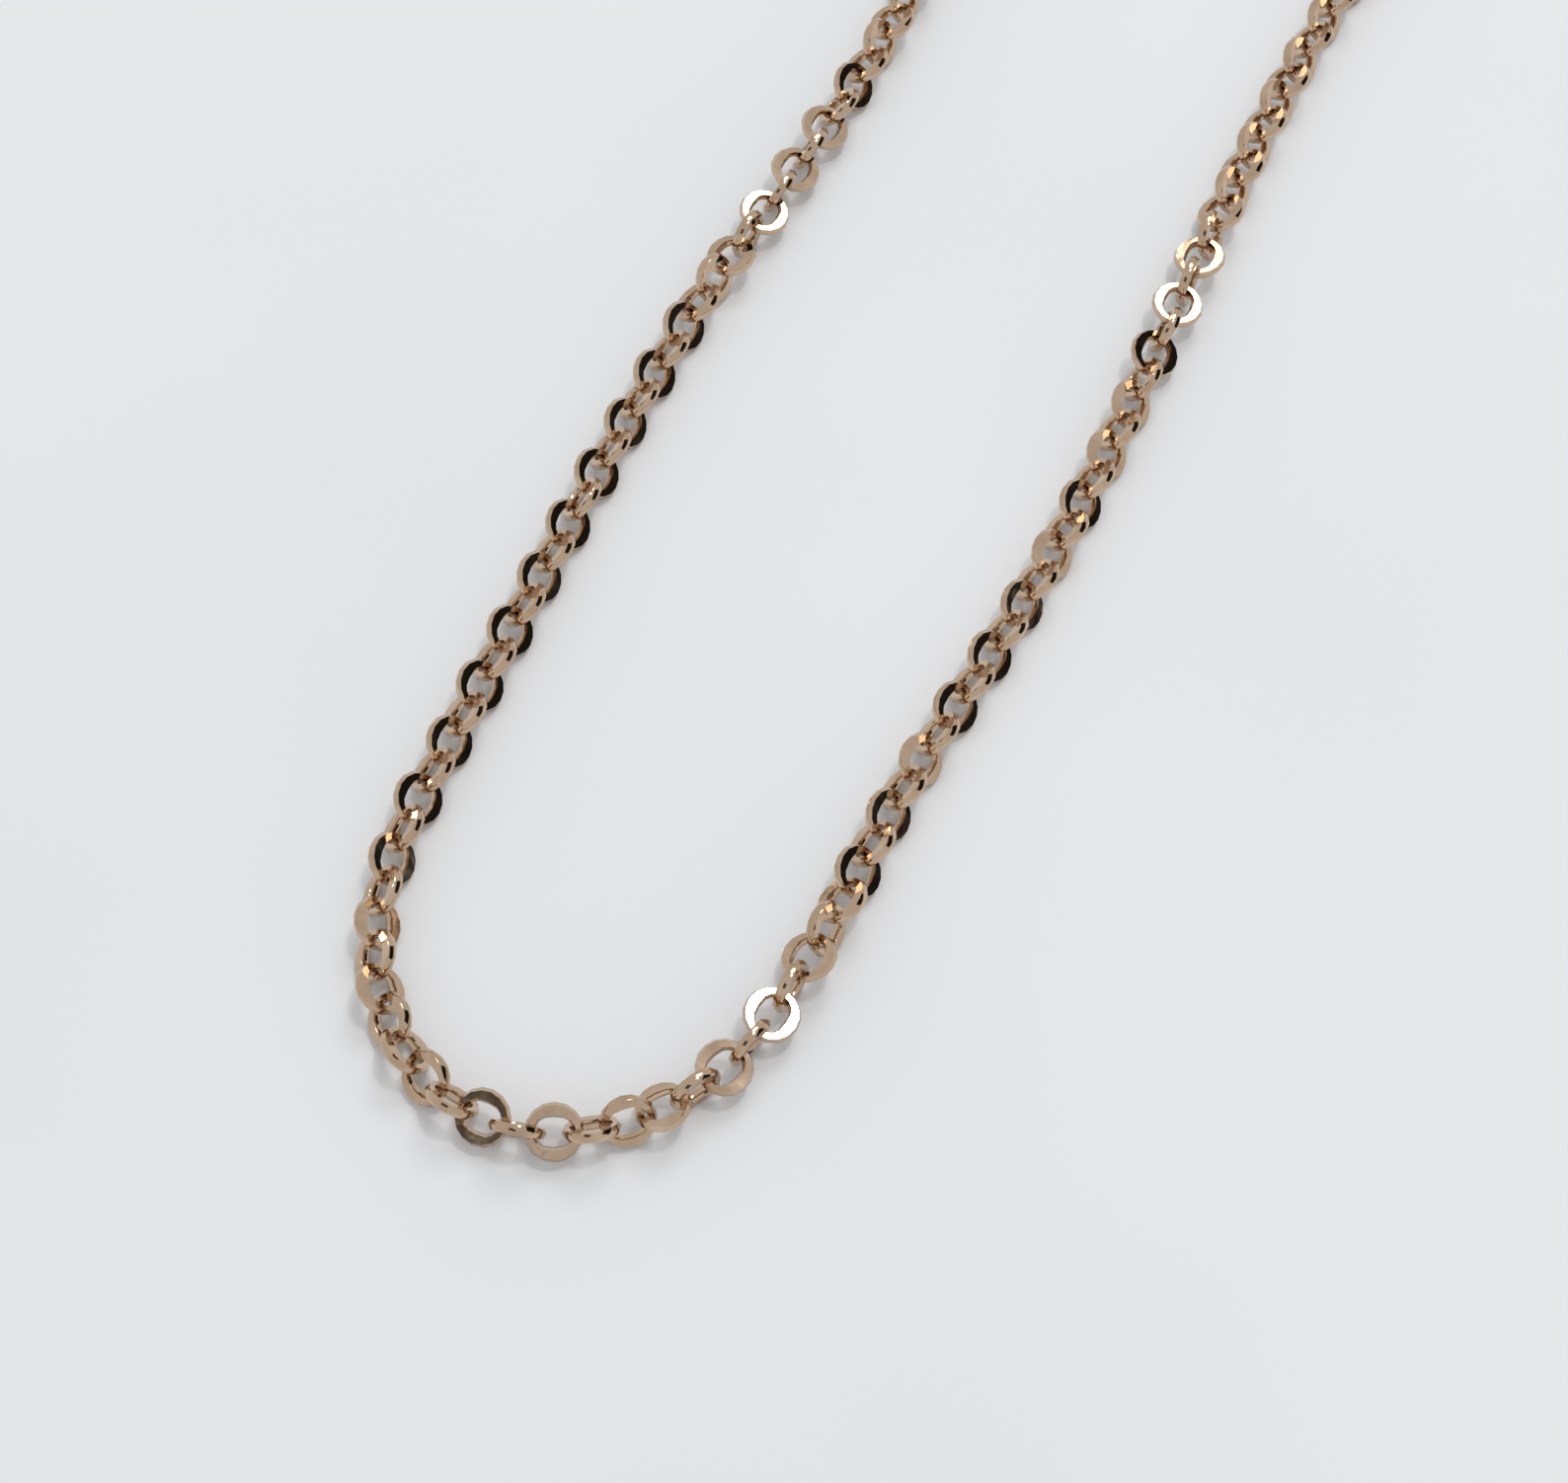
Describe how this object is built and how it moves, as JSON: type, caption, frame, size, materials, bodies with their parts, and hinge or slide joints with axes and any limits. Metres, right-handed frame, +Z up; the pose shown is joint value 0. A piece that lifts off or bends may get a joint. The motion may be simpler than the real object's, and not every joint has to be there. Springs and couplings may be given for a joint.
{
  "type": "chain necklace",
  "caption": "Fine rose gold cable chain necklace of flat round links, laid out undone, with a spring ring clasp and a catch tab.",
  "frame": {"origin": "on the table, under the middle of the laid out necklace's footprint", "axes": "+Y from the front of the necklace to its two ends, +Z up from the table, +X to the right with the front nearest"},
  "size_m": [0.1064, 0.1482, 0.0018],
  "materials": {
    "rose_gold": "mirror cut faces, polished edges",
    "spring_steel": "drawn wire"
  },
  "bodies": {
    "chain_front": {"chain_front": "rose_gold"},
    "chain_left_01": {"chain_left_01": "rose_gold"},
    "chain_left_02": {"chain_left_02": "rose_gold"},
    "chain_left_03": {"chain_left_03": "rose_gold"},
    "chain_left_04": {"chain_left_04": "rose_gold"},
    "chain_left_05": {"chain_left_05": "rose_gold"},
    "chain_left_06": {"chain_left_06": "rose_gold"},
    "chain_left_07": {"chain_left_07": "rose_gold"},
    "chain_left_08": {"chain_left_08": "rose_gold"},
    "chain_left_09": {"chain_left_09": "rose_gold"},
    "chain_left_10": {"chain_left_10": "rose_gold"},
    "chain_left_11": {"chain_left_11": "rose_gold"},
    "chain_left_12": {"chain_left_12": "rose_gold"},
    "chain_left_13": {"chain_left_13": "rose_gold"},
    "chain_left_14": {"chain_left_14": "rose_gold"},
    "chain_left_15": {"chain_left_15": "rose_gold"},
    "chain_left_16": {"chain_left_16": "rose_gold"},
    "chain_left_17": {"chain_left_17": "rose_gold"},
    "chain_left_18": {"chain_left_18": "rose_gold"},
    "chain_left_19": {"chain_left_19": "rose_gold"},
    "jump_ring_left": {"jump_ring_left": "rose_gold"},
    "clasp": {"clasp_case": "rose_gold", "clasp_spring": "spring_steel"},
    "clasp_bolt": {"clasp_bolt": "rose_gold"},
    "chain_right_01": {"chain_right_01": "rose_gold"},
    "chain_right_02": {"chain_right_02": "rose_gold"},
    "chain_right_03": {"chain_right_03": "rose_gold"},
    "chain_right_04": {"chain_right_04": "rose_gold"},
    "chain_right_05": {"chain_right_05": "rose_gold"},
    "chain_right_06": {"chain_right_06": "rose_gold"},
    "chain_right_07": {"chain_right_07": "rose_gold"},
    "chain_right_08": {"chain_right_08": "rose_gold"},
    "chain_right_09": {"chain_right_09": "rose_gold"},
    "chain_right_10": {"chain_right_10": "rose_gold"},
    "chain_right_11": {"chain_right_11": "rose_gold"},
    "chain_right_12": {"chain_right_12": "rose_gold"},
    "chain_right_13": {"chain_right_13": "rose_gold"},
    "chain_right_14": {"chain_right_14": "rose_gold"},
    "chain_right_15": {"chain_right_15": "rose_gold"},
    "chain_right_16": {"chain_right_16": "rose_gold"},
    "chain_right_17": {"chain_right_17": "rose_gold"},
    "chain_right_18": {"chain_right_18": "rose_gold"},
    "chain_right_19": {"chain_right_19": "rose_gold"},
    "chain_right_20": {"chain_right_20": "rose_gold"},
    "jump_ring_right": {"jump_ring_right": "rose_gold"},
    "catch_tab": {"catch_tab": "rose_gold"}
  },
  "joints": [
    {"name": "chain_left_01_bend", "type": "hinge", "parent": "chain_front", "child": "chain_left_01", "pos_m": [-0.00032, -0.07333, 0.00081], "axis": [0, 0.4695, -0.8829], "range_deg": [-60, 0]},
    {"name": "chain_left_02_bend", "type": "hinge", "parent": "chain_left_01", "child": "chain_left_02", "pos_m": [-0.00567, -0.06964, 0.00071], "axis": [0.6061, 0.3642, -0.7071], "range_deg": [-60, 60]},
    {"name": "chain_left_03_bend", "type": "hinge", "parent": "chain_left_02", "child": "chain_left_03", "pos_m": [-0.0069, -0.06419, 0.00071], "axis": [-0.7067, -0.0247, -0.7071], "range_deg": [-60, 60]},
    {"name": "chain_left_04_bend", "type": "hinge", "parent": "chain_left_03", "child": "chain_left_04", "pos_m": [-0.00713, -0.05745, 0.00071], "axis": [-0.7067, -0.0247, -0.7071], "range_deg": [-60, 60]},
    {"name": "chain_left_05_bend", "type": "hinge", "parent": "chain_left_04", "child": "chain_left_05", "pos_m": [-0.00732, -0.05182, 0.00071], "axis": [-0.7068, -0.0201, 0.7071], "range_deg": [-60, 60]},
    {"name": "chain_left_06_bend", "type": "hinge", "parent": "chain_left_05", "child": "chain_left_06", "pos_m": [-0.00737, -0.04507, 0.0007], "axis": [-0.7071, 0.0077, 0.7071], "range_deg": [-60, 60]},
    {"name": "chain_left_07_bend", "type": "hinge", "parent": "chain_left_06", "child": "chain_left_07", "pos_m": [-0.00695, -0.03947, 0.0009], "axis": [-0.9906, 0.1052, 0.0871], "range_deg": [-60, 60]},
    {"name": "chain_left_08_bend", "type": "hinge", "parent": "chain_left_07", "child": "chain_left_08", "pos_m": [-0.0065, -0.03274, 0.00076], "axis": [-0.7809, 0.057, 0.6221], "range_deg": [-60, 60]},
    {"name": "chain_left_09_bend", "type": "hinge", "parent": "chain_left_08", "child": "chain_left_09", "pos_m": [-0.00645, -0.02712, 0.00085], "axis": [-0.9043, -0.0414, -0.425], "range_deg": [-60, 60]},
    {"name": "chain_left_10_bend", "type": "hinge", "parent": "chain_left_09", "child": "chain_left_10", "pos_m": [-0.01081, -0.01451, 0.00084], "axis": [-0.7406, -0.4962, -0.4532], "range_deg": [-60, 60]},
    {"name": "chain_left_11_bend", "type": "hinge", "parent": "chain_left_10", "child": "chain_left_11", "pos_m": [-0.01978, -0.00609, 0.00083], "axis": [0.289, 0.3699, -0.8829], "range_deg": [-60, 50]},
    {"name": "chain_left_12_bend", "type": "hinge", "parent": "chain_left_11", "child": "chain_left_12", "pos_m": [-0.03042, 0.00222, 0.00083], "axis": [0.289, 0.3699, -0.8829], "range_deg": [-60, 60]},
    {"name": "chain_left_13_bend", "type": "hinge", "parent": "chain_left_12", "child": "chain_left_13", "pos_m": [-0.04016, 0.00986, 0.00083], "axis": [0.5657, 0.6779, 0.4695], "range_deg": [-60, 60]},
    {"name": "chain_left_14_bend", "type": "hinge", "parent": "chain_left_13", "child": "chain_left_14", "pos_m": [-0.04851, 0.02037, 0.00083], "axis": [0.7794, 0.4149, 0.4695], "range_deg": [-60, 60]},
    {"name": "chain_left_15_bend", "type": "hinge", "parent": "chain_left_14", "child": "chain_left_15", "pos_m": [-0.05216, 0.03213, 0.00083], "axis": [-0.4652, -0.0632, 0.8829], "range_deg": [-60, 60]},
    {"name": "chain_left_16_bend", "type": "hinge", "parent": "chain_left_15", "child": "chain_left_16", "pos_m": [-0.05124, 0.04551, 0.00083], "axis": [-0.4547, 0.1167, 0.8829], "range_deg": [-60, 60]},
    {"name": "chain_left_17_bend", "type": "hinge", "parent": "chain_left_16", "child": "chain_left_17", "pos_m": [-0.046, 0.05666, 0.00083], "axis": [-0.7261, 0.5023, -0.4695], "range_deg": [-60, 60]},
    {"name": "chain_left_18_bend", "type": "hinge", "parent": "chain_left_17", "child": "chain_left_18", "pos_m": [-0.03629, 0.06592, 0.00083], "axis": [-0.4834, 0.7389, -0.4695], "range_deg": [-60, 60]},
    {"name": "chain_left_19_bend", "type": "hinge", "parent": "chain_left_18", "child": "chain_left_19", "pos_m": [-0.02491, 0.07062, 0.00083], "axis": [0.1049, -0.4576, -0.8829], "range_deg": [-60, 60]},
    {"name": "jump_ring_left_turn", "type": "hinge", "parent": "chain_left_19", "child": "jump_ring_left", "pos_m": [-0.01037, 0.07141, 0.00072], "axis": [0.0075, -0.7071, 0.7071], "range_deg": [-45, 45]},
    {"name": "clasp_swing", "type": "hinge", "parent": "jump_ring_left", "child": "clasp", "pos_m": [-0.00964, 0.07141, 0.00063], "axis": [0, -1, 0], "range_deg": [-15, 50]},
    {"name": "clasp_bolt_pull", "type": "hinge", "parent": "clasp", "child": "clasp_bolt", "pos_m": [-0.0051, 0.07141, 0.00063], "axis": [0, 0, -1], "range_deg": [0, 64], "stiffness_Nm_per_rad": 0.0001, "springref_deg": -28.65, "deforming": ["clasp_spring"]},
    {"name": "chain_right_01_bend", "type": "hinge", "parent": "chain_front", "child": "chain_right_01", "pos_m": [0.00044, -0.07333, 0.00083], "axis": [0, -0.4695, 0.8829], "range_deg": [-60, 0]},
    {"name": "chain_right_02_bend", "type": "hinge", "parent": "chain_right_01", "child": "chain_right_02", "pos_m": [0.00569, -0.06947, 0.00091], "axis": [0.8586, -0.5052, 0.0871], "range_deg": [-60, 60]},
    {"name": "chain_right_03_bend", "type": "hinge", "parent": "chain_right_02", "child": "chain_right_03", "pos_m": [0.00678, -0.06399, 0.00088], "axis": [-0.2056, 0.0393, 0.9778], "range_deg": [-60, 60]},
    {"name": "chain_right_04_bend", "type": "hinge", "parent": "chain_right_03", "child": "chain_right_04", "pos_m": [0.00699, -0.05725, 0.00071], "axis": [-0.7058, 0.0432, 0.7071], "range_deg": [-60, 60]},
    {"name": "chain_right_05_bend", "type": "hinge", "parent": "chain_right_04", "child": "chain_right_05", "pos_m": [0.00757, -0.05166, 0.00071], "axis": [-0.7037, 0.0698, -0.7071], "range_deg": [-60, 60]},
    {"name": "chain_right_06_bend", "type": "hinge", "parent": "chain_right_05", "child": "chain_right_06", "pos_m": [0.00797, -0.04492, 0.00071], "axis": [-0.7068, 0.0206, -0.7071], "range_deg": [-60, 60]},
    {"name": "chain_right_07_bend", "type": "hinge", "parent": "chain_right_06", "child": "chain_right_07", "pos_m": [0.00796, -0.0393, 0.0008], "axis": [0.8057, 0.0472, -0.5904], "range_deg": [-60, 60]},
    {"name": "chain_right_08_bend", "type": "hinge", "parent": "chain_right_07", "child": "chain_right_08", "pos_m": [0.00784, -0.03255, 0.00087], "axis": [-0.956, -0.025, -0.2923], "range_deg": [-60, 60]},
    {"name": "chain_right_09_bend", "type": "hinge", "parent": "chain_right_08", "child": "chain_right_09", "pos_m": [0.0078, -0.02693, 0.00077], "axis": [-0.5971, 0.0098, 0.8021], "range_deg": [-60, 60]},
    {"name": "chain_right_10_bend", "type": "hinge", "parent": "chain_right_09", "child": "chain_right_10", "pos_m": [0.00809, -0.02019, 0.00074], "axis": [-0.6409, 0.0496, 0.766], "range_deg": [-60, 60]},
    {"name": "chain_right_11_bend", "type": "hinge", "parent": "chain_right_10", "child": "chain_right_11", "pos_m": [0.01321, -0.00792, 0.00079], "axis": [-0.6338, 0.5136, 0.5783], "range_deg": [-60, 60]},
    {"name": "chain_right_12_bend", "type": "hinge", "parent": "chain_right_11", "child": "chain_right_12", "pos_m": [0.02302, -0.00047, 0.00083], "axis": [0.2557, -0.3937, 0.8829], "range_deg": [-60, 60]},
    {"name": "chain_right_13_bend", "type": "hinge", "parent": "chain_right_12", "child": "chain_right_13", "pos_m": [0.03435, 0.00689, 0.00083], "axis": [-0.2557, 0.3937, -0.8829], "range_deg": [-60, 60]},
    {"name": "chain_right_14_bend", "type": "hinge", "parent": "chain_right_13", "child": "chain_right_14", "pos_m": [0.04394, 0.01463, 0.00083], "axis": [0.657, -0.5899, -0.4695], "range_deg": [-60, 60]},
    {"name": "chain_right_15_bend", "type": "hinge", "parent": "chain_right_14", "child": "chain_right_15", "pos_m": [0.05064, 0.02625, 0.00083], "axis": [0.8333, -0.2919, -0.4695], "range_deg": [-60, 60]},
    {"name": "chain_right_16_bend", "type": "hinge", "parent": "chain_right_15", "child": "chain_right_16", "pos_m": [0.05242, 0.03843, 0.00083], "axis": [-0.4693, -0.0117, -0.8829], "range_deg": [-60, 60]},
    {"name": "chain_right_17_bend", "type": "hinge", "parent": "chain_right_16", "child": "chain_right_17", "pos_m": [0.04932, 0.05148, 0.00083], "axis": [0.4288, 0.1912, 0.8829], "range_deg": [-60, 60]},
    {"name": "chain_right_18_bend", "type": "hinge", "parent": "chain_right_17", "child": "chain_right_18", "pos_m": [0.04225, 0.06156, 0.00083], "axis": [-0.6268, -0.6218, 0.4695], "range_deg": [-60, 60]},
    {"name": "chain_right_19_bend", "type": "hinge", "parent": "chain_right_18", "child": "chain_right_19", "pos_m": [0.03104, 0.06892, 0.00083], "axis": [-0.3395, -0.8151, 0.4695], "range_deg": [-60, 60]},
    {"name": "chain_right_20_bend", "type": "hinge", "parent": "chain_right_19", "child": "chain_right_20", "pos_m": [0.01898, 0.0714, 0.00083], "axis": [0.0154, 0.4692, 0.8829], "range_deg": [-60, 60]},
    {"name": "jump_ring_right_turn", "type": "hinge", "parent": "chain_right_20", "child": "jump_ring_right", "pos_m": [0.01113, 0.0714, 0.00072], "axis": [-0.0075, -0.7071, 0.7071], "range_deg": [-45, 45]},
    {"name": "catch_tab_swing", "type": "hinge", "parent": "jump_ring_right", "child": "catch_tab", "pos_m": [0.0104, 0.0714, 0.00076], "axis": [0, -1, 0], "range_deg": [-15, 30]}
  ]
}
